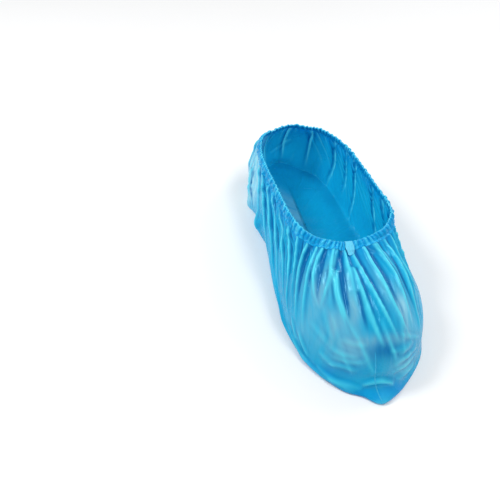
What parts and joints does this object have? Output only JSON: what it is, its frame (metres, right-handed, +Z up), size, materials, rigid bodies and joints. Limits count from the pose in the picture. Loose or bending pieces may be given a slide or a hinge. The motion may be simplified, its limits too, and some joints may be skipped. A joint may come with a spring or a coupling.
{
  "type": "disposable shoe cover",
  "caption": "Disposable overshoe of thin blue film in its worn form: a bag whose mouth is gathered by an elastic in a folded casing, joined under a small tab.",
  "frame": {"origin": "middle of the inside of the sole, on its upper face, where the sole of the shoe stands", "axes": "+Z up out of the mouth, -Y towards the toe, +Y towards the heel, +X towards the wearer's left"},
  "size_m": [0.1281, 0.324, 0.081],
  "materials": {
    "film": "thin translucent blue polyethylene film, satin gloss, finely crinkled",
    "casing_film": "the same film in two layers, gathered, deeper blue",
    "elastic": "matt, pale natural rubber strip"
  },
  "bodies": {
    "root": {"film_bag": "film", "elastic_casing": "casing_film", "elastic_band": "elastic", "join_tab": "casing_film"}
  },
  "joints": []
}
